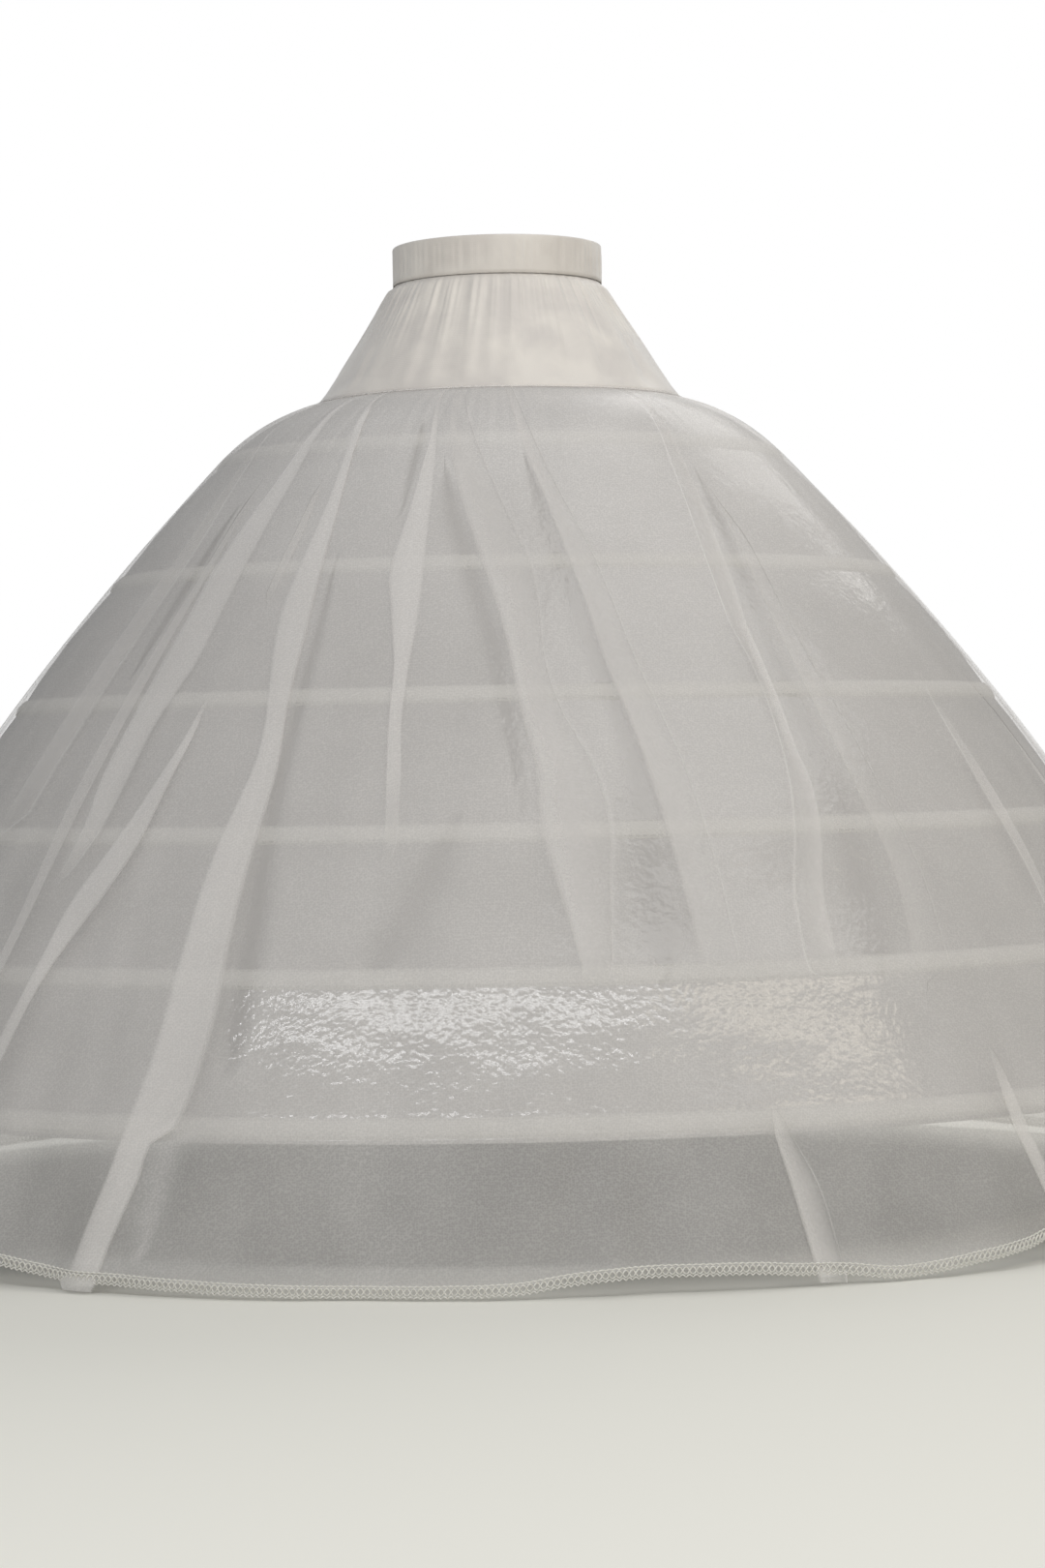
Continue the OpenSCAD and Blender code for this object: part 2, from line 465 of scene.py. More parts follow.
@dataclass(frozen=True)
class LiningFinish:
    """Crisp polyester taffeta: a grey-white cloth whose crinkles break up every highlight."""

    color: str = "#B7B3B0"
    shade: str = "#ACA9A6"
    crinkle: float = 14.0 * MM
    fine_crinkle: float = 6.5 * MM
    patch: float = 0.16
    roughness: float = 0.12

    def material(self) -> bpy.types.Material:
        """Makes the material, with the two sizes of crinkle in its bump."""
        material, tree, shader = start_material("crinkled_taffeta")
        place = add_node(tree, "TexCoord").outputs["Object"]
        patches = {"Vector": place, "Scale": 1.0 / self.patch, "Detail": 3.0}
        share = add_node(tree, "TexNoise", patches).outputs["Fac"]
        shades = {"Factor": share, MIX_A: linear(self.shade), MIX_B: linear(self.color)}
        color = add_node(tree, "Mix", shades, data_type="RGBA")
        creases = {"Vector": place, "Scale": 1.0 / self.crinkle, "Detail": 2.0, "Distortion": 0.6}
        coarse = add_node(tree, "TexNoise", creases).outputs["Fac"]
        creases = {"Vector": place, "Scale": 1.0 / self.fine_crinkle, "Detail": 1.0}
        fine = add_node(tree, "TexNoise", creases).outputs["Fac"]
        relief = {"Height": coarse, "Strength": 0.5, "Distance": 0.6 * MM}
        broad = add_node(tree, "Bump", relief).outputs["Normal"]
        relief = {"Height": fine, "Strength": 0.5, "Distance": 1.1 * MM, "Normal": broad}
        bump = add_node(tree, "Bump", relief)
        surface = {
            "Base Color": color.outputs[MIX_RESULT],
            "Roughness": self.roughness,
            "Specular IOR Level": 1.0,
            "Normal": bump.outputs["Normal"],
        }
        connect(tree, shader, surface)
        return material


@dataclass(frozen=True)
class TapeFinish:
    """Cotton twill tape: a closer, paler weave than the lining, stitched along each edge."""

    color: str = "#C8C5C0"
    stitch_color: str = "#B9B6B1"
    twill_pitch: float = 2.4 * MM
    stitch_pitch: float = 7.0 * MM
    stitch_share: float = 0.65
    stitch_half: float = 0.7 * MM
    stitch_inset: float = 2.2 * MM
    width: float = 20.0 * MM
    roughness: float = 0.7

    def material(self) -> bpy.types.Material:
        """Makes the material; the twill and stitches are drawn coarse enough to show."""
        material, tree, shader = start_material("cotton_twill_tape")
        cloth = add_node(tree, "UVMap", uv_map=CLOTH_MAP).outputs["UV"]
        parts = add_node(tree, "SeparateXYZ", (cloth,))
        bands = {"Vector": cloth, "Scale": wave_scale(self.twill_pitch), "Distortion": 0.5}
        twill = add_node(tree, "TexWave", bands, wave_type="BANDS", bands_direction="DIAGONAL")
        middle = add_node(tree, "Math", (parts.outputs["Y"], self.width / 2), operation="ADD")
        off = add_node(tree, "Math", (middle.outputs["Value"],), operation="ABSOLUTE")
        line = (off.outputs["Value"], self.width / 2 - self.stitch_inset, self.stitch_half)
        seam = add_node(tree, "Math", line, operation="COMPARE")
        repeat = (parts.outputs["X"], self.stitch_pitch)
        steps = add_node(tree, "Math", repeat, operation="DIVIDE")
        share = add_node(tree, "Math", (steps.outputs["Value"],), operation="FRACT")
        length = (share.outputs["Value"], self.stitch_share)
        dash = add_node(tree, "Math", length, operation="LESS_THAN")
        both = (seam.outputs["Value"], dash.outputs["Value"])
        stitch = add_node(tree, "Math", both, operation="MULTIPLY").outputs["Value"]
        shades = {"Factor": stitch, MIX_A: linear(self.color), MIX_B: linear(self.stitch_color)}
        color = add_node(tree, "Mix", shades, data_type="RGBA")
        relief = {"Height": twill.outputs["Fac"], "Strength": 0.25, "Distance": 0.3 * MM}
        weave = add_node(tree, "Bump", relief).outputs["Normal"]
        relief = {"Height": stitch, "Strength": 0.6, "Distance": 0.6 * MM, "Normal": weave}
        bump = add_node(tree, "Bump", relief, invert=True)
        surface = {
            "Base Color": color.outputs[MIX_RESULT],
            "Roughness": self.roughness,
            "Sheen Weight": 0.2,
            "Normal": bump.outputs["Normal"],
        }
        connect(tree, shader, surface)
        return material


@dataclass(frozen=True)
class MuslinFinish:
    """Brushed cotton blend: warm white, a plain weave and a soft nap, with painted shade: its shade
    colour lies in the hollows of its broad bump, in soft uneven patches.
    """

    name: str
    light: str
    shade: str
    thread_pitch: float = 2.0 * MM
    patch: float = 0.05
    patch_range: Pair = (0.35, 0.65)
    roughness: float = 0.5

    def material(self) -> bpy.types.Material:
        """Makes the material; the weave is drawn coarse enough to show."""
        material, tree, shader = start_material(self.name)
        cloth = add_node(tree, "UVMap", uv_map=CLOTH_MAP).outputs["UV"]
        place = add_node(tree, "TexCoord").outputs["Object"]
        shaded_hollows = {"Vector": place, "Scale": 1.0 / self.patch, "Detail": 3.0, "Distortion": 0.4}
        patches = add_node(tree, "TexNoise", shaded_hollows).outputs["Fac"]
        share = add_node(tree, "MapRange", (patches, *self.patch_range)).outputs["Result"]
        # Painted shade: the darker shade colour falls where the patches are low, which are the
        # hollows of the broad bump below.
        shades = {"Factor": share, MIX_A: linear(self.shade), MIX_B: linear(self.light)}
        color = add_node(tree, "Mix", shades, data_type="RGBA")
        bands = {"Vector": cloth, "Scale": wave_scale(self.thread_pitch), "Distortion": 1.0}
        threads = [
            add_node(tree, "TexWave", bands, wave_type="BANDS", bands_direction=way).outputs["Fac"]
            for way in "XY"
        ]
        weave = add_node(tree, "Math", threads, operation="MULTIPLY")
        relief = {"Height": weave.outputs["Value"], "Strength": 0.2, "Distance": 0.3 * MM}
        fine = add_node(tree, "Bump", relief).outputs["Normal"]
        relief = {"Height": patches, "Strength": 0.2, "Distance": 2.0 * MM, "Normal": fine}
        bump = add_node(tree, "Bump", relief)
        surface = {
            "Base Color": color.outputs[MIX_RESULT],
            "Roughness": self.roughness,
            "Sheen Weight": 0.8,
            "Normal": bump.outputs["Normal"],
        }
        connect(tree, shader, surface)
        return material


@dataclass(frozen=True)
class ThreadFinish:
    """Crochet cotton: matt white thread, with painted highlight and shade in lighter and darker bands
    along its twist.
    """

    color: str = "#F4F2EC"
    shade: str = "#DAD8D0"
    twist_pitch: float = 2.5 * MM
    roughness: float = 0.68

    def material(self) -> bpy.types.Material:
        """Makes the material, with the twist drawn coarse enough to show."""
        material, tree, shader = start_material("crochet_cotton")
        cloth = add_node(tree, "UVMap", uv_map=CLOTH_MAP).outputs["UV"]
        bands = {"Vector": cloth, "Scale": wave_scale(self.twist_pitch), "Distortion": 0.4}
        wave = add_node(tree, "TexWave", bands, wave_type="BANDS", bands_direction="DIAGONAL")
        twist = wave.outputs["Fac"]
        # Painted highlight and shade: the lighter colour lies on the twist's raised bands, the darker
        # in its grooves.
        shades = {"Factor": twist, MIX_A: linear(self.shade), MIX_B: linear(self.color)}
        color = add_node(tree, "Mix", shades, data_type="RGBA")
        relief = {"Height": twist, "Strength": 0.3, "Distance": 0.2 * MM}
        bump = add_node(tree, "Bump", relief)
        surface = {
            "Base Color": color.outputs[MIX_RESULT],
            "Roughness": self.roughness,
            "Sheen Weight": 0.1,
            "Normal": bump.outputs["Normal"],
        }
        connect(tree, shader, surface)
        return material


@dataclass(frozen=True)
class HiddenFinish:
    """A finish of the pieces inside the cloth: two close shades in fine uneven marks."""

    name: str
    light: str
    shade: str
    mark: float
    roughness: float
    metallic: float = 0.0

    def material(self) -> bpy.types.Material:
        """Makes the material, with its marks in colour and bump."""
        material, tree, shader = start_material(self.name)
        place = add_node(tree, "TexCoord").outputs["Object"]
        grain = {"Vector": place, "Scale": 1.0 / self.mark, "Detail": 2.0}
        marks = add_node(tree, "TexNoise", grain).outputs["Fac"]
        shades = {"Factor": marks, MIX_A: linear(self.shade), MIX_B: linear(self.light)}
        color = add_node(tree, "Mix", shades, data_type="RGBA")
        relief = {"Height": marks, "Strength": 0.2, "Distance": 0.2 * MM}
        bump = add_node(tree, "Bump", relief)
        surface = {
            "Base Color": color.outputs[MIX_RESULT],
            "Roughness": self.roughness,
            "Metallic": self.metallic,
            "Normal": bump.outputs["Normal"],
        }
        connect(tree, shader, surface)
        return material


def settle(
    piece: bpy.types.Object, nodes: Sequence[str], material: bpy.types.Material
) -> None:
    """Gives a piece its finish and puts it in place of its solids.

    Args:
        piece: The finished piece.
        nodes: The solids that it stands for.
        material: Its finish.
    """
    piece.data.materials.append(material)
    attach(piece, "root")
    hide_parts(*nodes)
    LOG.info("%s: %d faces", piece.name, len(piece.data.polygons))


def thicken(piece: bpy.types.Object, wall: float) -> None:
    """Gives a sheet its thickness, inward from its outer face.

    Args:
        piece: The sheet.
        wall: The cloth's thickness.
    """
    solid = piece.modifiers.new("cloth", "SOLIDIFY")
    solid.thickness = wall
    solid.offset = -1.0


@dataclass
class Waistband:
    """The folded band at the waist, ruched a little by its elastic."""

    columns: int = 420
    inside_rows: int = 5
    bend_rows: int = 6
    outside_rows: int = 8
    wall: float = 0.7 * MM
    ruche: float = 0.8 * MM
    ruches: Wave = Wave(84, 1.0)
    finish: MuslinFinish = MuslinFinish("brushed_cotton_band", "#EDE7DF", "#E0D9D1")

    def section(self) -> list[Pair]:
        """Gives the fold's radii and heights, up the inside, over the top and down the outside."""
        inner, outer = CAGE.waist_r + self.wall, CAGE.waist_r + CAGE.band_t
        middle, half = (inner + outer) / 2, (outer - inner) / 2
        low, bend = CAGE.waist_z, CAGE.band_t / 2
        high = CAGE.top_z - bend
        rise = high - low
        rows = [(inner, low + rise * k / self.inside_rows) for k in range(self.inside_rows + 1)]
        for k in range(1, self.bend_rows):
            turn = math.pi * k / self.bend_rows
            rows.append((middle - half * math.cos(turn), high + bend * math.sin(turn)))
        for k in range(self.outside_rows + 1):
            rows.append((outer, high - rise * k / self.outside_rows))
        return rows

    def build(self) -> bpy.types.Object:
        """Builds and dresses the band.

        Returns:
            The band.
        """
        section = self.section()
        sheet = RingSheet("waistband_cloth", self.columns, len(section))
        tall = CAGE.top_z - CAGE.waist_z

        def place(column: int, row: int) -> Vector:
            """Ruches the band most halfway up."""
            angle = sheet.angle(column)
            radius, height = section[row]
            middle = math.sin(math.pi * clamp((height - CAGE.waist_z) / tall))
            lift = self.ruche * self.ruches.at(angle) * middle
            return polar(angle, radius + lift, height)

        around = even(2 * math.pi * CAGE.waist_r, self.columns)
        piece = sheet.build(place, around, even(2 * tall, len(section) - 1))
        thicken(piece, self.wall)
        settle(piece, ["waistband"], self.finish.material())
        return piece


@dataclass
class HipYoke:
    """The opaque yoke: fine gathers at the waist seam that open into soft folds lower down.

    A span is the shares of the way down between which something rises from nothing to all.
    """

    columns: int = 720
    rows: int = 34
    row_power: float = 1.25
    length: float = 0.15
    wall: float = 0.8 * MM
    tuck: float = 0.3 * MM
    seam_span: Pair = (0.06, 0.0)
    seam_gather: float = 0.3 * MM
    gather: float = 1.8 * MM
    gathers: Wave = Wave(110, 2.0, 0.1)
    gather_rest: float = 0.5
    gather_span: Pair = (0.75, 0.05)
    fold: float = 1.8 * MM
    folds: Wave = Wave(36, 3.0, 0.2)
    fold_rest: float = 0.6
    fold_span: Pair = (0.0, 0.3)
    lean: float = 6.0
    lean_start: float = 30.0
    puff: float = 1.0 * MM
    puff_spans: tuple[Pair, Pair] = ((0.0, 0.05), (0.3, 0.08))
    hold_span: Pair = (1.0, 0.86)
    finish: MuslinFinish = MuslinFinish("brushed_cotton_yoke", "#EEE8E0", "#DFD9D3")

    def build(self) -> bpy.types.Object:
        """Builds and dresses the yoke.

        Returns:
            The yoke.
        """
        sheet = RingSheet("hip_yoke_cloth", self.columns, self.rows)
        drop = CAGE.waist_z - CAGE.hip_z
        top = CAGE.waist_r + CAGE.band_t - self.tuck

        def place(column: int, row: int) -> Vector:
            """Lays the gathers and folds on the yoke's cone, held flat at the hip seam."""
            angle = sheet.angle(column)
            share = (row / (self.rows - 1)) ** self.row_power
            height = CAGE.waist_z - drop * share
            seam = smooth(*self.seam_span, share)
            radius = CAGE.yoke_r(height) * (1 - seam) + top * seam
            turned = angle + self.lean * math.sin(math.radians(2 * angle + self.lean_start)) * share
            fine = self.gathers.at(turned, share) * smooth(*self.gather_span, share)
            broad = self.folds.at(turned, share) * smooth(*self.fold_span, share)
            depth = self.seam_gather * seam + self.gather * (1 - seam)
            relief = depth * (fine - self.gather_rest) + self.fold * (broad - self.fold_rest)
            rise, fall = (smooth(*span, share) for span in self.puff_spans)
            swell = self.puff * rise * fall
            return polar(angle, radius + swell + smooth(*self.hold_span, share) * relief, height)

        around = even(2 * math.pi * CAGE.hip_r, self.columns)
        piece = sheet.build(place, around, even(self.length, self.rows - 1))
        thicken(piece, self.wall)
        settle(piece, ["hip_yoke"], self.finish.material())
        return piece


@dataclass
class Lining:
    """The lining that carries the hoops, full in its upper tiers and a little hollow in its lower."""

    columns: int = 480
    tier_rows: int = 11
    length: float = 0.9
    wall: float = 0.6 * MM
    tuck: float = 0.8 * MM
    bows: tuple[float, ...] = (5.5 * MM, 3.4 * MM, 3.4 * MM, 2.4 * MM, -2.2 * MM, -2.2 * MM)
    pucker: float = 0.5 * MM
    pucker_rest: float = 0.6
    puckers: Wave = Wave(150, drift=0.13)
    waves: Wave = Wave(40, drift=0.21)
    wave_share: float = 1.5
    finish: LiningFinish = LiningFinish()

    def stations(self) -> list[Triple]:
        """Gives the radius, height and slackness of each row, from the hip seam to the hem."""
        half = CAGE.casing_w / 2
        rows = []
        start = (CAGE.hip_r - self.tuck, CAGE.hip_z)
        for hoop in range(1, CAGE.hoop_count + 1):
            end = CAGE.at_hoop(hoop, -half, 0.0)
            run = math.hypot(end[0] - start[0], end[1] - start[1])
            out = ((start[1] - end[1]) / run, (end[0] - start[0]) / run)
            for k in range(self.tier_rows):
                share = k / self.tier_rows
                slack = 4.0 * share * (1.0 - share)
                bow = self.bows[hoop - 1] * slack
                radius = start[0] + (end[0] - start[0]) * share + bow * out[0]
                height = start[1] + (end[1] - start[1]) * share + bow * out[1]
                rows.append((radius, height, slack))
            rows.append((*end, 0.0))
            start = CAGE.at_hoop(hoop, half, 0.0)
        rows.append((*start, 0.0))
        rows.append((*CAGE.at_hoop(CAGE.hoop_count, half + CAGE.lining_hem, 0.0), 0.0))
        return rows

    def build(self) -> bpy.types.Object:
        """Builds and dresses the lining.

        Returns:
            The lining.
        """
        rows = self.stations()
        sheet = RingSheet("lining_cloth", self.columns, len(rows))

        def place(column: int, row: int) -> Vector:
            """Puckers the lining where it is slack between its casings."""
            angle = sheet.angle(column)
            radius, height, slack = rows[row]
            wrinkle = self.puckers.at(angle, row) + self.wave_share * self.waves.at(angle, row)
            lift = self.pucker * slack * (wrinkle - self.pucker_rest)
            return polar(angle, radius + lift, height)

        around = even(2 * math.pi * CAGE.hem_hoop_r, self.columns)
        piece = sheet.build(place, around, even(self.length, len(rows) - 1))
        thicken(piece, self.wall)
        settle(piece, ["lining_skirt"], self.finish.material())
        return piece


@dataclass
class Casings:
    """The strips of tape sewn on the lining over the hoops."""

    columns: int = 540
    rows: int = 13
    edge: float = 0.05 * MM
    sewn: float = 0.7 * MM
    hump: float = 2.2 * MM
    hump_half: float = 8.5 * MM
    pucker: float = 0.2 * MM
    puckers: Wave = Wave(230, drift=1.0)
    pucker_turn: float = 0.4
    edge_calm: float = 0.5
    wander: float = 0.5 * MM
    wanders: Wave = Wave(90, 10.0, 1.0)
    finish: TapeFinish = TapeFinish()

    def build(self) -> list[bpy.types.Object]:
        """Builds and dresses a casing for each hoop.

        Returns:
            The casings from the top down.
        """
        material = self.finish.material()
        pieces = []
        for hoop in range(1, CAGE.hoop_count + 1):
            piece = self.strip(hoop)
            settle(piece, [f"hoop_casing_{hoop}"], material)
            pieces.append(piece)
        return pieces

    def strip(self, hoop: int) -> bpy.types.Object:
        """Builds one casing.

        Args:
            hoop: The hoop that it covers, counted from 1 at the top.

        Returns:
            The casing, with no finish.
        """
        sheet = RingSheet(f"casing_tape_{hoop}", self.columns, self.rows)
        half = CAGE.casing_w / 2

        def place(column: int, row: int) -> Vector:
            """Humps the tape over its hoop and sews its edges down."""
            angle = sheet.angle(column)
            share = 2.0 * row / (self.rows - 1) - 1.0
            down = half * share
            rise = self.sewn + self.hump * math.exp(-((down / self.hump_half) ** 2))
            wrinkle = self.pucker * self.puckers.at(angle, hoop + self.pucker_turn * share)
            wrinkle *= 1.0 - self.edge_calm * abs(share)
            out = self.edge if row in (0, self.rows - 1) else rise + wrinkle
            down += self.wander * share * self.wanders.at(angle, hoop)
            return polar(angle, *CAGE.at_hoop(hoop, down, out))

        around = even(2 * math.pi * CAGE.radius(CAGE.hoop_z(hoop)), self.columns)
        return sheet.build(place, around, even(self.finish.width, self.rows - 1))


class Column(NamedTuple):
    """One column of the net on one row: its angle, its lift, its drop and how it shows."""

    angle: float
    lift: float = 0.0
    drop: float = 0.0
    cover: float = 1.0


class Turn(NamedTuple):
    """Where the front's folds are repeated; a negative scale turns them left for right."""

    middle: float
    scale: float

    def angle(self, front: float) -> float:
        """Gives the angle that an angle of the front goes to."""
        return self.middle + self.scale * front


@dataclass(frozen=True)
class Pleat:
    """A knife pleat of the net.

    Its marks are (height in mm, angle of its left side, angle of its right side, how plainly it
    shows from 0 to 1), from the hem up. A soft pleat shows most at its free edge and fades toward
    its other side. The layers of one that is narrower than full_width lie closer together.
    """

    marks: Marks
    lay: Lay = Lay.RIGHT
    soft: bool = False
    hangs: bool = False
    full_width: float = 8.0 * MM
    least_angle: float = 0.03
    closing_show: float = 0.2

    def moved(self, turn: Turn) -> "Pleat":
        """Gives a copy of the pleat elsewhere around the skirt.

        Args:
            turn: Where it goes.

        Returns:
            The copy.
        """
        marks = []
        for level, left, right, show in self.marks:
            sides = sorted((turn.angle(left), turn.angle(right)))
            marks.append((level, *sides, show))
        lay = self.lay if turn.scale > 0 else Lay(-self.lay.value)
        return replace(self, marks=tuple(marks), lay=lay)

    def at(self, height: float) -> Triple:
        """Gives the pleat at a height; where it hardly shows, it closes on its free edge.

        Args:
            height: Height above the floor.

        Returns:
            The angles of its left and right sides, and how plainly it shows.
        """
        level = height / MM
        show = clamp(along(self.marks, level, 3))
        left = along(self.marks, level)
        right = along(self.marks, level, 2)
        width = max((right - left) * smooth(0.0, self.closing_show, show), self.least_angle)
        if self.lay is Lay.RIGHT:
            return right - width, right, show
        return left, left + width, show

    def cover(self, level: int, near: float, show: float) -> float:
        """Gives how a layer shows: the pleat's sides are soft, and its joined side has no line.

        Args:
            level: The layer, 0 for the lowest and 2 for the top one.
            near: How far across it is from the side where the top layer joins the net.
            show: How plainly the pleat shows.

        Returns:
            The cover, 1 for one whole layer of net.
        """
        shown = show * (near if self.soft else 1.0)
        if level == 0:
            return along(((0.0, 0.0), (JOIN, JOIN_COVER), (SETTLED, 1.0)), near)
        start, joined = 0.0, 0.5 * shown
        if level == 2:
            start, joined = 1.0, JOIN_COVER + (1.0 - JOIN_COVER) * shown
        marks = ((0.0, start), (JOIN, joined), (SETTLED, shown), (FADE, shown), (1.0, 0.0))
        return along(marks, near)

    def columns(
        self, height: float, radius: float, gap: float, hang: float, shares: Sequence[float]
    ) -> list[Column]:
        """Lays the pleat's three layers on one row of the net.

        Args:
            height: Height of the row.
            radius: Radius of the net there.
            gap: Distance from one layer to the next.
            hang: How far the end of a hanging pleat drops.
            shares: Where the columns are across a layer.

        Returns:
            The columns in order around the skirt.
        """
        left, right, show = self.at(height)
        gap *= min(math.radians(right - left) * radius / self.full_width, 1.0)
        to_right = self.lay is Lay.RIGHT
        path = []
        for layer in range(3):
            for share in shares:
                across = 1.0 - share if layer == 1 else share
                above = 2.0 - layer + (0.5 if layer and not share else 0.0)
                above = above if to_right else 2.0 - above
                level = 2 - layer if to_right else layer
                cover = self.cover(level, across if to_right else 1.0 - across, show)
                drop = 0.5 * above * hang * self.hangs
                path.append(Column(left + (right - left) * across, gap * above, drop, cover))
        return path


@dataclass(frozen=True)
class ShadingBand:
    """A stretch of the net whose cover is lowered or raised by its change, as painted shade and
    light: lowered, the net shows more of the darker lining and paints a streak of shade; raised, it
    paints the net paler.

    Its marks are (height in mm, angle in degrees, width in mm), from the hem up.
    """

    marks: Marks
    change: float
    sharpness: float = 2.5
    reach: float = 2.0

    def moved(self, turn: Turn) -> "ShadingBand":
        """Gives a copy of the band elsewhere around the skirt."""
        marks = ((level, turn.angle(angle), width) for level, angle, width in self.marks)
        return replace(self, marks=tuple(marks))

    def change_at(self, angle: float, height: float, radius: float) -> float:
        """Gives how much the band adds to the net's cover at a point.

        Args:
            angle: Degrees from the front.
            height: Height above the floor.
            radius: Radius of the net there.

        Returns:
            The change, 0 away from the band.
        """
        level = height / MM
        width = along(self.marks, level, 2) * MM
        if width <= 0.0:
            return 0.0
        off = math.radians(angle - along(self.marks, level)) * radius / width
        return self.change * math.exp(-self.sharpness * off * off) if abs(off) < self.reach else 0.0


# The pleats of the front, from left to right.
FRONT_PLEATS = (
    Pleat(
        ((0, -59, -57, 0), (380, -55.5, -51, 0), (450, -55, -50.5, 0.45), (600, -54.8, -50, 0.5),
         (700, -55.5, -51.5, 0.35), (835, -62, -60, 0)),
        Lay.LEFT,
    ),
    Pleat(
        ((0, -50, -48.5, 0.6), (300, -45, -43.4, 0.6), (450, -45.4, -42.9, 0.6),
         (600, -45.4, -43.3, 0.5), (680, -45.8, -44.2, 0.3), (760, -48, -47, 0),
         (835, -52, -51.5, 0)),
    ),
    Pleat(
        ((0, -47, -46, 0), (340, -42, -41, 0), (400, -41.4, -39, 0.7), (450, -42.3, -38.5, 0.9),
         (500, -42.4, -38.3, 1), (540, -42.5, -37.2, 1), (560, -42.6, -36.7, 1),
         (600, -42.7, -36.9, 1), (650, -43.4, -37.3, 1), (700, -43, -37.8, 1),
         (750, -42.2, -38.4, 1), (800, -42.2, -40.4, 1), (835, -44, -43, 0.7)),
        Lay.LEFT,
    ),
    Pleat(
        ((0, -45, -43.4, 0.8), (215, -41.2, -39.6, 0.9), (277, -39.9, -38.2, 1),
         (340, -38.9, -35.4, 1), (390, -36.8, -33.6, 1), (450, -34.7, -32.9, 1),
         (490, -33.5, -32.4, 0.9), (530, -33.2, -32.7, 0), (650, -33.4, -33, 0),
         (750, -34.6, -34.3, 0), (835, -37.6, -37.4, 0)),
    ),
    Pleat(
        ((0, -35, -34.7, 0), (300, -31, -30.8, 0), (600, -31.2, -30.4, 0), (640, -31.6, -30, 0.35),
         (700, -31.8, -30.2, 0.4), (745, -32.6, -31.8, 0), (835, -36.5, -36.3, 0)),
    ),
    Pleat(
        ((0, -29.5, -27.1, 1), (46, -28.8, -26.4, 1), (98, -28, -25.4, 1), (128, -27.6, -25, 1),
         (142, -27.4, -23.2, 1), (200, -26.6, -22, 1), (243, -26.3, -21.7, 1),
         (303, -26.1, -21.9, 1), (355, -25.9, -21.9, 1), (406, -25.3, -21.7, 1),
         (458, -24.4, -21.6, 1), (492, -24.6, -22.2, 1), (535, -25.8, -22.8, 1),
         (578, -27.3, -23.1, 1), (612, -28.1, -23.7, 1), (650, -28.2, -24.4, 1),
         (700, -28.3, -25.5, 1), (749, -29.2, -27.2, 1), (801, -31.6, -29.6, 1),
         (835, -35.2, -34.2, 0.8)),
        hangs=True,
    ),
    Pleat(
        ((0, -9, -8.8, 0), (350, -10.2, -9, 0), (415, -10.6, -9.3, 0.5), (450, -11, -9.5, 0.8),
         (500, -11.5, -10.1, 0.9), (550, -11.9, -10.1, 1), (600, -13.4, -9.8, 1),
         (640, -14.8, -10, 1), (700, -14, -10.5, 1), (750, -13.5, -11.3, 0.9),
         (780, -13.4, -12.1, 0.8), (835, -15.5, -14.8, 0.4)),
        Lay.LEFT,
    ),
    Pleat(
        ((0, 6, 8, 0), (255, 5.5, 8, 0), (285, 5.3, 8.2, 0.7), (350, 3.9, 9, 0.9),
         (400, 2.8, 9.7, 0.9), (450, 2.8, 9, 0.9), (500, 1.7, 6.5, 0.9), (550, 0.8, 5, 1),
         (600, -0.6, 5, 1), (650, -2.9, 4.4, 0.9), (700, -5.6, 1.5, 0.8), (750, -8.3, -2, 0.5),
         (800, -10.4, -6, 0.25), (835, -11.6, -8.5, 0.2)),
        Lay.LEFT,
        soft=True,
    ),
    Pleat(
        ((0, 15, 18, 0), (260, 14.6, 18, 0), (300, 14.5, 18, 0.5), (354, 14.2, 18, 0.6),
         (439, 13.3, 17.5, 0.7), (491, 12.4, 16.5, 0.7), (551, 10.9, 15, 0.65), (602, 10, 14, 0.65),
         (662, 8.5, 12.5, 0.6), (722, 6.4, 9.5, 0.5), (770, 4.2, 6.9, 0.35), (835, 1.5, 3.6, 0.2)),
        Lay.LEFT,
        soft=True,
    ),
    Pleat(
        ((0, 19.2, 21.2, 1), (45, 18.8, 21, 1), (88, 18.4, 20.5, 1), (130, 17.9, 19.2, 0.9),
         (155, 18.1, 18.6, 0), (300, 18.7, 19, 0), (440, 18.5, 18.8, 0), (551, 17, 17.3, 0),
         (662, 15, 15.3, 0), (722, 13, 13.3, 0), (835, 9, 9.3, 0)),
        Lay.LEFT,
        soft=True,
        hangs=True,
    ),
    Pleat(
        ((0, 22.5, 25, 0), (250, 23, 25.9, 0), (285, 23.2, 26.2, 0.5), (336, 23.8, 26.8, 0.6),
         (380, 25.3, 28.3, 0.6), (430, 26.8, 29.5, 0.7), (465, 27.5, 29.3, 0.8), (508, 28, 29.6, 1),
         (551, 28, 29.8, 1), (585, 27.5, 30, 0.8), (611, 27.7, 30.8, 0.7), (662, 28.6, 32, 0.6),
         (697, 29.6, 33.1, 0.5), (740, 31, 34.5, 0.35), (780, 33, 36.2, 0.25),
         (835, 36.5, 39, 0.2)),
        soft=True,
    ),
    Pleat(
        ((0, 34, 37, 0), (240, 32.7, 36, 0), (277, 32.8, 36.5, 0.3), (354, 34, 37.5, 0.35),
         (465, 33.7, 37, 0.35), (560, 33.6, 36.5, 0.3), (660, 35, 37.5, 0.2), (740, 37, 39, 0),
         (835, 40.5, 42, 0)),
        Lay.LEFT,
        soft=True,
    ),
    Pleat(
        ((0, 38.2, 40, 0.9), (70, 37.6, 39.2, 0.9), (113, 37, 38.6, 0.9), (148, 36.7, 38.2, 0.8),
         (200, 36.9, 37.4, 0), (354, 38.2, 38.5, 0), (500, 38, 38.3, 0), (660, 38.6, 38.9, 0),
         (835, 43, 43.4, 0)),
        Lay.LEFT,
    ),
    Pleat(
        ((0, 50, 51, 0), (300, 51, 52, 0.2), (350, 51.4, 53, 0.5), (420, 51.3, 53.4, 0.6),
         (470, 51.8, 53.2, 0.3), (560, 53, 53.5, 0), (835, 58, 58.5, 0)),
    ),
)
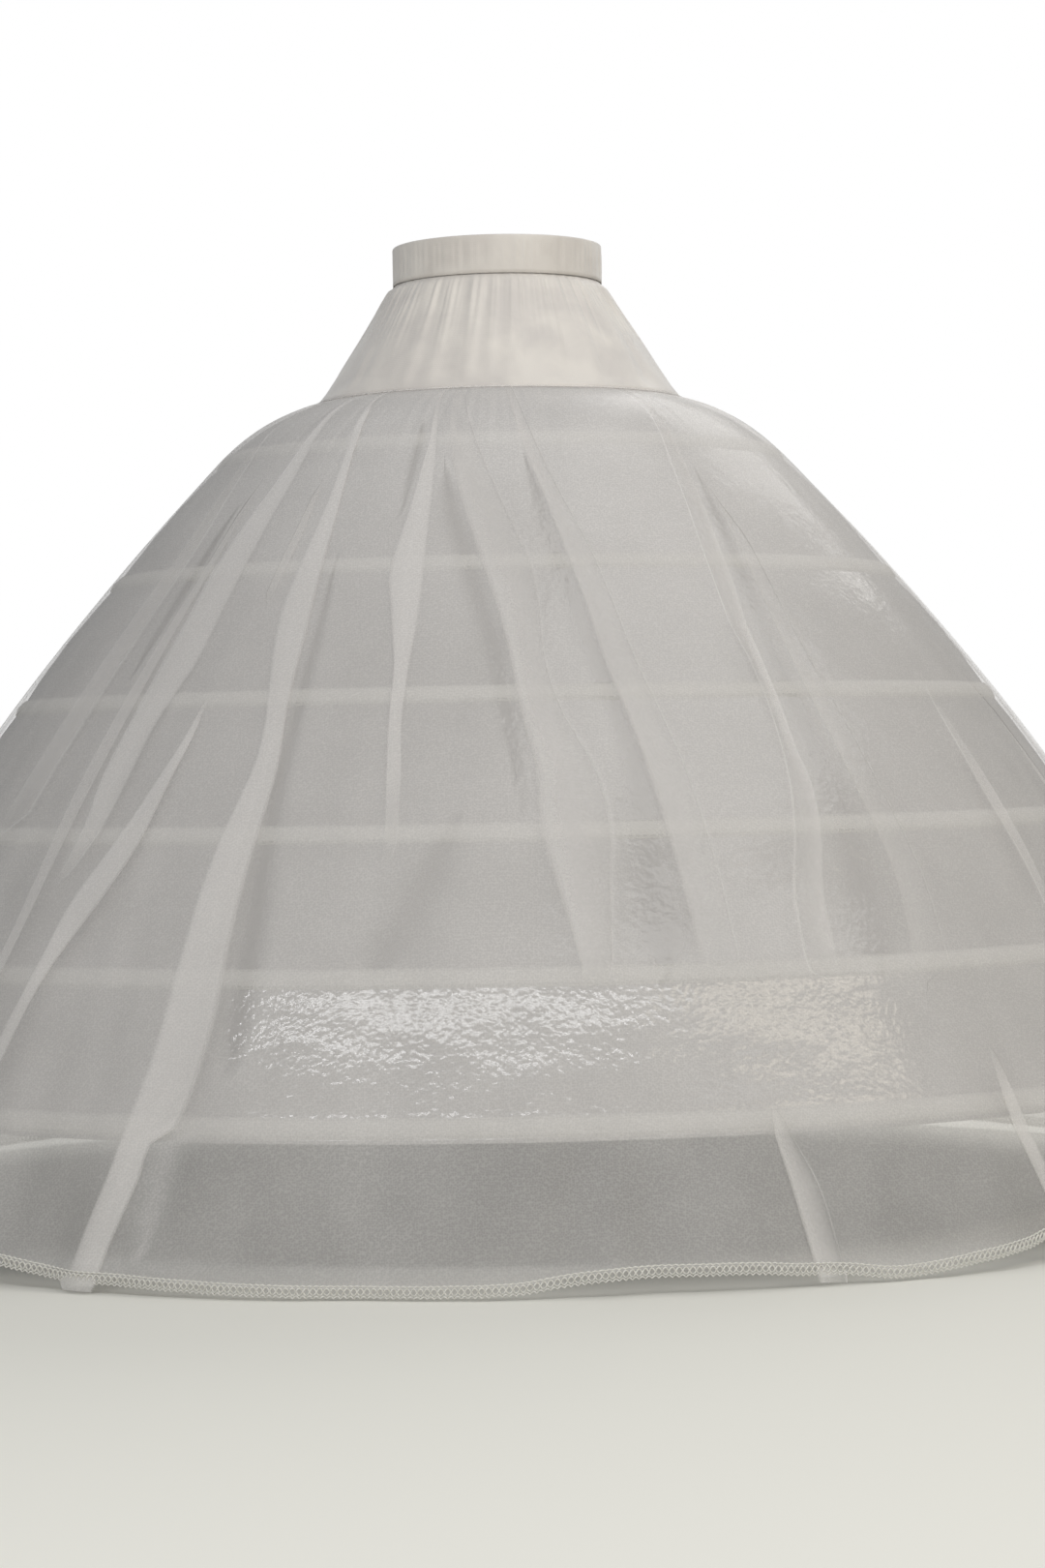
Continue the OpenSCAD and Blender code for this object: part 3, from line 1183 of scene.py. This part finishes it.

# The stretches of the front where the net's cover is lowered or raised, as painted shade and light.
FRONT_SHADING_BANDS = (
    ShadingBand(
        ((540, -46.4, 0), (580, -46.4, 10), (650, -46.7, 14), (690, -47.4, 8), (720, -48, 0)),
        -0.5,
    ),
    ShadingBand(((0, -47, 190), (100, -46, 190), (150, -46, 0)), 0.22),
    ShadingBand(((20, -24.4, 0), (60, -24.2, 18), (130, -23.8, 24), (150, -23.4, 0)), 0.3),
    ShadingBand(
        ((180, -19.6, 0), (234, -19.8, 20), (319, -20.2, 22), (400, -20.8, 14), (594, -21.8, 8),
         (660, -23, 0)),
        -0.5,
    ),
    ShadingBand(((700, -14.9, 0), (730, -15, 6), (775, -15.2, 6), (800, -15.6, 0)), -0.5),
    ShadingBand(
        ((410, 1.6, 0), (465, 1.0, 10), (517, 0, 14), (570, -1.2, 16), (650, -4.6, 18),
         (700, -7.2, 16), (750, -9.6, 0)),
        -0.45,
    ),
    ShadingBand(((265, -10.5, 0), (290, -9, 32), (330, -7.4, 34), (370, -5.6, 30), (410, -4, 0)), -0.3),
    ShadingBand(
        ((262, 12, 0), (300, 12, 44), (350, 12, 40), (400, 12, 34), (450, 12, 22), (500, 11.2, 18),
         (600, 8.9, 18), (660, 7.2, 14), (722, 5.6, 8), (750, 4.6, 0)),
        -0.5,
    ),
    ShadingBand(
        ((262, 29.6, 0), (285, 29.8, 44), (336, 30.4, 44), (400, 31.2, 30), (460, 31.4, 26),
         (550, 31.4, 18), (611, 32.4, 16), (662, 33.6, 14), (700, 34.6, 10), (740, 36, 0)),
        -0.4,
    ),
    ShadingBand(((500, 27.4, 0), (530, 27.2, 16), (575, 27, 12), (600, 27, 0)), -0.35),
)


@dataclass
class Overskirt:
    """The sheer net: gathered on the hip seam, pleated down its length, free below the lining.

    Its shoulder turns down a little inside the solid's. The pleats are in the order that they have
    at order_z, and the net between two is divided by its width at spacing_z. The hem's marks are
    (angle in degrees, how far it is lifted off the floor in mm).
    """

    shoulder_rows: int = 14
    body_rows: int = 46
    hang_rows: int = 10
    shoulder_reach: float = 0.056
    shoulder_drop: float = 0.012
    layer_gap: float = 0.6 * MM
    ease: float = 4.5 * MM
    foot: float = 4.0 * MM
    layer_shares: tuple[float, ...] = (0.0, JOIN, SETTLED, 0.5, FADE, 0.93)
    gap_steps: float = 1.4
    rise_steps: int = 3
    base_lift: float = 0.5 * MM
    hem_lift: float = 8.0 * MM
    upper_wave: float = 1.4 * MM
    hem_wave: float = 13.0 * MM
    wave_power: float = 1.5
    waves: Wave = Wave(34, 20.0, 0.25)
    wave_rest: float = 0.5
    wave_share: float = 0.5
    small_waves: Wave = Wave(75, 30.0, 0.5)
    small_share: float = 0.25
    lean: float = 4.0
    lean_start: float = 40.0
    gather: float = 1.2 * MM
    gathers: Wave = Wave(150, 40.0)
    gather_rest: float = 0.6
    gather_reach: float = 0.11
    hang: float = 9.0 * MM
    hang_out: float = 0.7
    heading: float = 2.0 * MM
    heading_gap: float = 1.4 * MM
    heading_shares: tuple[float, ...] = (1.0, 0.6, 0.25)
    heading_fade: float = 0.6
    frill: float = 0.3 * MM
    frills: Wave = Wave(160, 50.0)
    gathered: float = 0.5
    least_cover: float = 0.3
    facing_step: float = 0.5
    order_z: float = 0.4
    spacing_z: float = 0.3
    repeats: tuple[Turn, ...] = (Turn(117.0, -0.95), Turn(238.0, 0.95))
    finish: NetFinish = NetFinish()
    hem_marks: Marks = (
        (-180, 6), (-150, 12), (-120, 4), (-90, 12), (-60, 10), (-45, 22), (-37, 22), (-35, 19),
        (-30, 9), (-26, 7), (-18, 3), (-9, 1), (0, 3), (3.6, 10), (7, 14), (15, 13.5), (18, 10),
        (21, 8), (25, 2), (30, 8), (35, 16), (37, 21), (45, 16), (60, 6), (90, 14), (120, 5),
        (150, 12), (180, 6),
    )

    def all_pleats(self) -> list[Pleat]:
        """Gives the pleats around the skirt; the sides and back, not seen, repeat the front's."""
        copies = [pleat.moved(turn) for turn in self.repeats for pleat in FRONT_PLEATS]
        return sorted([*FRONT_PLEATS, *copies], key=lambda pleat: pleat.at(self.order_z)[0])

    def all_shading_bands(self) -> list[ShadingBand]:
        """Gives the stretches of painted shade and light in the net's cover, on the front and on its
        repeats.
        """
        copies = [band.moved(turn) for turn in self.repeats for band in FRONT_SHADING_BANDS]
        return [*FRONT_SHADING_BANDS, *copies]

    def stations(self) -> list[Pair]:
        """Gives the radius and height of each row of the net's inside, from heading to hem."""
        rows = []
        for share in self.heading_shares:
            height = CAGE.hip_z + self.heading * share
            rows.append((CAGE.yoke_r(height) + self.heading_gap, height))
        first = Vector((CAGE.hip_r, CAGE.hip_z))
        turn = Vector((CAGE.hip_r + self.shoulder_reach, CAGE.hip_z - self.shoulder_drop))
        last = Vector((CAGE.top_hoop_r + self.ease, CAGE.top_hoop_z))
        for k in range(self.shoulder_rows):
            u = k / self.shoulder_rows
            rows.append(tuple((1 - u) ** 2 * first + 2 * u * (1 - u) * turn + u * u * last))
        for k in range(self.body_rows):
            height = CAGE.top_hoop_z + (CAGE.hem_hoop_z - CAGE.top_hoop_z) * k / self.body_rows
            rows.append((CAGE.radius(height) + self.ease, height))
        start = CAGE.hem_hoop_r + self.ease
        for k in range(self.hang_rows + 1):
            u = k / self.hang_rows
            height = CAGE.hem_hoop_z + (self.foot - CAGE.hem_hoop_z) * u
            rows.append((start + (CAGE.hem_r - start) * u, height))
        return rows

    def surface(self, angle: float, radius: float, height: float) -> float:
        """Gives the radius of the net where it lies in one layer.

        Args:
            angle: Degrees from the front.
            radius: Radius of the net's inner surface.
            height: Height above the floor.

        Returns:
            The radius with the net's soft waves and its gathers at the hip seam.
        """
        start = CAGE.hoop_z(2)
        fall = smooth(CAGE.hip_z, start, height)
        share = clamp((start - height) / start)
        grown = self.upper_wave + (self.hem_wave - self.upper_wave) * share**self.wave_power
        lean = self.lean * math.sin(math.radians(2 * angle + self.lean_start)) * share
        waves = self.wave_rest + self.wave_share * self.waves.at(angle + lean, share)
        waves += self.small_share * self.small_waves.at(angle, share)
        lift = fall * (self.base_lift + (self.hem_lift - self.base_lift) * share)
        near = 1.0
        if height < CAGE.hip_z:
            near = smooth(self.gather_reach, 0.0, CAGE.hip_z - height)
        fine = self.gather * near * (self.gather_rest + self.gathers.at(angle))
        return radius + lift + fall * grown * max(waves, 0.0) + fine

    def hem_rise(self, angle: float) -> float:
        """Gives how far the hem is lifted off the floor at an angle."""
        return along(self.hem_marks, angle) * MM

    def row_path(
        self, radius: float, height: float, pleats: Sequence[Pleat], gaps: Sequence[int]
    ) -> list[Column]:
        """Lays one row of the net around the skirt, folding it at each pleat.

        Args:
            radius: Radius of the net's inner surface on this row.
            height: Height of the row.
            pleats: The pleats in order around the skirt.
            gaps: The steps of net before each pleat.

        Returns:
            The columns of the row.
        """
        sizes = (height, radius, self.layer_gap, self.hang, self.layer_shares)
        folds = [pleat.columns(*sizes) for pleat in pleats]
        path: list[Column] = []
        for k, (fold, pleat) in enumerate(zip(folds, pleats)):
            last = pleats[k - 1]
            right = last.at(height)[1] - (360.0 if k == 0 else 0.0)
            left = fold[0].angle
            steps = gaps[k]
            for step in range(steps):
                fall = smooth(self.rise_steps, 0, step) if last.lay is Lay.LEFT else 0.0
                climb = smooth(steps - self.rise_steps, steps, step)
                climb = climb if pleat.lay is Lay.RIGHT else 0.0
                lift = fall * folds[k - 1][-1].lift + climb * fold[0].lift
                path.append(Column(right + (left - right) * step / steps, lift))
            path.extend(fold)
        return path

    def build(self) -> bpy.types.Object:
        """Builds and dresses the net.

        Returns:
            The net.
        """
        pleats = self.all_pleats()
        bands = self.all_shading_bands()
        middles = [pleat.at(self.spacing_z)[0] for pleat in pleats]
        spaces = [(middles[k] - middles[k - 1]) % 360.0 for k in range(len(middles))]
        gaps = [max(round(space * self.gap_steps), 2 * self.rise_steps) for space in spaces]
        rows = self.stations()
        paths = [self.row_path(radius, height, pleats, gaps) for radius, height in rows]
        sheet = RingSheet("overskirt_net", len(paths[0]), len(rows))
        head = CAGE.hip_z + self.heading

        def place(column: int, row: int) -> Vector:
            """Puts a point of the folded row on the waved net and lets its hem hang."""
            radius, height = rows[row]
            here = paths[row][column]
            turned = (here.angle + 180.0) % 360.0 - 180.0
            low = smooth(CAGE.hem_hoop_z, 0.0, height)
            frill = self.frill * self.frills.at(turned) * smooth(CAGE.hip_z, head, height)
            out = self.surface(turned, radius, height) + here.lift
            out += self.hang_out * here.drop * low
            hang = low * (self.hem_rise(turned) - here.drop)
            return polar(here.angle, out, height + frill + hang)

        def cover(column: int, row: int) -> float:
            """Thickens the net toward the hip seam and lowers or raises its cover along its bands, as
            painted shade and light.
            """
            radius, height = rows[row]
            here = paths[row][column]
            # Painted shade and light: the bands lower or raise the net's cover to darken or lighten
            # it.
            painted_shading = sum(band.change_at(here.angle, height, radius) for band in bands)
            fade = 1.0 - self.heading_fade * smooth(CAGE.hip_z, head, height)
            dense = 1.0 + self.gathered * smooth(CAGE.hoop_z(3), CAGE.hip_z, height)
            return here.cover * max(1.0 + painted_shading, self.least_cover) * fade * dense

        def facing(column: int, row: int) -> Vector:
            """Gives the way that the net would face there with no pleats."""
            angle = paths[row][column].angle
            around = (angle - self.facing_step, angle + self.facing_step)
            sides = [polar(turn, self.surface(turn, *rows[row]), 0.0) for turn in around]
            lines = (rows[max(row - 1, 0)], rows[min(row + 1, len(rows) - 1)])
            ends = [polar(angle, self.surface(angle, *line), line[1]) for line in lines]
            return (sides[1] - sides[0]).cross(ends[0] - ends[1]).normalized()

        around, down = self.lengths(rows, paths)
        piece = sheet.build(place, around, down, cover, facing)
        settle(piece, ["overskirt"], self.finish.material())
        return piece

    def lengths(
        self, rows: Sequence[Pair], paths: Sequence[Sequence[Column]]
    ) -> tuple[list[float], list[float]]:
        """Measures the cloth around the skirt, folds included, and down it.

        Args:
            rows: The radius and height of each row.
            paths: The columns of each row.

        Returns:
            How far around each column is, on the row nearest a third of the way up, and how far
            down each row is.
        """
        level = min(range(len(rows)), key=lambda k: abs(rows[k][1] - CAGE.top_z / 3))
        turns = [column.angle for column in paths[level]]
        turns.append(turns[0] + 360.0)
        around = [0.0]
        for here, after in zip(turns, turns[1:]):
            around.append(around[-1] + math.radians(abs(after - here)) * rows[level][0])
        down = [0.0]
        for here, after in zip(rows, rows[1:]):
            down.append(down[-1] + math.dist(here, after))
        return around, down


@dataclass
class LaceHem:
    """The crochet edging: two crossing threads between an upper cord and a row of picots."""

    repeats: int = 430
    steps: int = 8
    sides: int = 4
    thread: float = 0.75 * MM
    middle: float = 6.6 * MM
    swing: float = 3.2 * MM
    weave: float = 0.5
    heading_gap: float = 1.6 * MM
    heading_swing: float = 0.4 * MM
    picot_foot: float = 0.9 * MM
    picot: float = 2.4 * MM
    picot_power: float = 1.5
    finish: ThreadFinish = ThreadFinish()

    def build(self, net: Overskirt) -> bpy.types.Object:
        """Builds and dresses the edging along the hem of the net.

        Args:
            net: The overskirt that carries it.

        Returns:
            The edging.
        """
        top = self.middle + self.swing + self.heading_gap
        rises = {
            "lace_wave_a": (lambda k: self.middle + self.swing * math.sin(k), self.weave),
            "lace_wave_b": (lambda k: self.middle - self.swing * math.sin(k), -self.weave),
            "lace_heading": (lambda k: top + self.heading_swing * math.cos(2 * k), 0.0),
            "lace_picots": (
                lambda k: self.picot_foot + self.picot * abs(math.cos(k)) ** self.picot_power,
                0.0,
            ),
        }
        threads = [self.cord(net, name, rise, weave) for name, (rise, weave) in rises.items()]
        piece = threads[0]
        bm = bmesh.new()
        for thread in threads:
            bm.from_mesh(thread.data)
        bm.to_mesh(piece.data)
        bm.free()
        for thread in threads[1:]:
            bpy.data.objects.remove(thread)
        piece.name = "lace_edging"
        piece.data.shade_smooth()
        settle(piece, ["lace_hem"], self.finish.material())
        return piece

    def cord(
        self, net: Overskirt, name: str, rise: Callable[[float], float], weave: float
    ) -> bpy.types.Object:
        """Builds one thread around the hem.

        Args:
            net: The overskirt that carries it.
            name: The thread's name.
            rise: Gives its height above the hem at a place in its repeat, in radians.
            weave: How far it passes over or under the other thread, in thread radii.

        Returns:
            The thread, with no finish.
        """
        sheet = RingSheet(name, self.repeats * self.steps, self.sides, tube=True)
        hem = net.stations()[-1]
        centres = []
        for column in range(sheet.columns):
            angle = sheet.angle(column)
            repeat = 2.0 * math.pi * column / self.steps
            over = weave * self.thread * math.cos(repeat)
            radius = net.surface(angle, *hem) + 2 * net.layer_gap + 2 * self.thread + over
            centres.append(polar(angle, radius, net.hem_rise(angle) + rise(repeat)))

        def place(column: int, row: int) -> Vector:
            """Puts a point on the thread's round section."""
            here = centres[column]
            tangent = centres[(column + 1) % sheet.columns] - centres[column - 1]
            out = Vector((here.x, here.y, 0.0)).normalized()
            side = tangent.cross(out).normalized()
            turn = 2.0 * math.pi * (row + 0.5) / self.sides
            return here + self.thread * (math.cos(turn) * out + math.sin(turn) * side)

        around = even(2 * math.pi * CAGE.hem_r, sheet.columns)
        return sheet.build(place, around, even(2 * math.pi * self.thread, self.sides))


@dataclass
class Hidden:
    """The pieces inside the cloth, which stay as the solids are.

    The bones have a moulded nylon coat with a faint gloss, the joiners are bare rolled steel, and
    the elastic is braided and matt.
    """

    bone: HiddenFinish = HiddenFinish("white_nylon_coat", "#F0EFEA", "#E4E3DD", 4.0 * MM, 0.35)
    joiner: HiddenFinish = HiddenFinish("rolled_steel", "#C9CBCD", "#B4B6B8", 1.5 * MM, 0.32, 1.0)
    elastic: HiddenFinish = HiddenFinish("braided_elastic", "#EDECE8", "#DDDCD6", 2.0 * MM, 0.75)

    def dress(self) -> None:
        """Gives the bones, joiners and elastic their finishes."""
        kinds = {"hoop_bone": self.bone.material(), "hoop_joiner": self.joiner.material()}
        for name, material in kinds.items():
            for hoop in range(1, CAGE.hoop_count + 1):
                self.paint(f"{name}_{hoop}", material)
        self.paint("waist_elastic", self.elastic.material())

    def paint(self, node: str, material: bpy.types.Material) -> None:
        """Puts a finish on a solid.

        Args:
            node: The solid's name.
            material: Its finish.
        """
        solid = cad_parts[node]
        solid.data.materials.clear()
        solid.data.materials.append(material)
        LOG.info("%s: dressed as %s", node, material.name)


class Lamp(NamedTuple):
    """A soft lamp: where it hangs and points, its width and height, its watts and its colour."""

    name: str
    place: Triple
    target: Triple
    size: Pair
    power: float
    color: str

    def hang(self) -> None:
        """Hangs the lamp in the scene."""
        light = bpy.data.lights.new(self.name, "AREA")
        light.shape = "RECTANGLE"
        light.size, light.size_y = self.size
        light.energy = self.power
        light.color = linear(self.color)[:3]
        lamp = bpy.data.objects.new(self.name, light)
        lamp.location = self.place
        way = Vector(self.target) - Vector(self.place)
        lamp.rotation_euler = way.to_track_quat("-Z", "Y").to_euler()
        bpy.context.collection.objects.link(lamp)


@dataclass
class Studio:
    """The pale floor, the soft lights and the camera."""

    distance: float = 4.0
    aside: float = 0.0165
    eye: float = 0.463
    lens: float = 86.67
    dip: float = 0.44
    roll: float = -1.1
    floor_r: float = 5.0
    floor_color: str = "#F1F0E8"
    ambient: float = 0.25
    ambient_color: str = "#F4F6F8"
    lamps: tuple[Lamp, ...] = (
        Lamp("top_softbox", (1.9, -0.9, 4.2), (0.3, -0.6, 0.3), (4.0, 3.0), 50.0, "#FFFEFC"),
        Lamp("front_bar", (-0.4, -3.38, 2.45), (0.0, -0.7, 0.2), (4.6, 0.45), 52.0, "#FCFDFF"),
        Lamp("right_bar", (2.75, -2.55, 2.6), (0.3, -0.6, 0.2), (2.6, 0.45), 16.0, "#FFF4DF"),
        Lamp("back_softbox", (1.3, 3.4, 3.4), (0.0, 0.4, 0.5), (3.2, 1.8), 42.0, "#FFFDFA"),
    )

    def build(self) -> None:
        """Builds the floor, the surroundings, the lights and the camera."""
        self.floor()
        self.surround()
        for lamp in self.lamps:
            lamp.hang()
        self.camera()

    def floor(self) -> None:
        """Lays the pale floor."""
        bm = bmesh.new()
        bmesh.ops.create_circle(bm, cap_ends=True, segments=128, radius=self.floor_r)
        mesh = bpy.data.meshes.new("floor")
        bm.to_mesh(mesh)
        bm.free()
        floor = bpy.data.objects.new("floor", mesh)
        bpy.context.collection.objects.link(floor)
        material, tree, shader = start_material("pale_floor")
        connect(tree, shader, {"Base Color": linear(self.floor_color), "Roughness": 0.9})
        mesh.materials.append(material)

    def surround(self) -> None:
        """Makes the plain white surroundings, which light the skirt less than they show."""
        world = bpy.data.worlds.new("studio")
        bpy.context.scene.world = world
        world.use_nodes = True
        tree = world.node_tree
        tree.nodes.clear()
        seen = add_node(tree, "LightPath").outputs["Is Camera Ray"]
        light = {"Color": linear(self.ambient_color), "Strength": self.ambient}
        soft = add_node(tree, "Background", light).outputs["Background"]
        shown = {"Color": linear("#FFFFFF"), "Strength": 1.0}
        white = add_node(tree, "Background", shown).outputs["Background"]
        mixed = add_node(tree, "MixShader", (seen, soft, white))
        add_node(tree, "OutputWorld", {"Surface": mixed.outputs["Shader"]})
        bpy.context.scene.view_settings.view_transform = "Standard"

    def camera(self) -> None:
        """Sets the camera at the photograph's viewing angle."""
        data = bpy.data.cameras.new("camera")
        data.lens = self.lens
        data.sensor_width = 36.0
        data.clip_end = 100.0
        camera = bpy.data.objects.new("camera", data)
        pitch = Matrix.Rotation(math.radians(90.0 - self.dip), 4, "X")
        turned = pitch @ Matrix.Rotation(math.radians(self.roll), 4, "Z")
        camera.matrix_world = Matrix.Translation((self.aside, -self.distance, self.eye)) @ turned
        bpy.context.collection.objects.link(camera)
        bpy.context.scene.camera = camera


def main() -> None:
    """Builds the pieces in order."""
    logging.basicConfig(level=logging.INFO, format="%(name)s: %(message)s")
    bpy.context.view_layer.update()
    Studio().build()
    Hidden().dress()
    Waistband().build()
    HipYoke().build()
    lining = Lining().build()
    casings = Casings().build()
    skirt = Overskirt()
    net = skirt.build()
    lace = LaceHem().build(skirt)


if __name__ == "__main__":
    main()
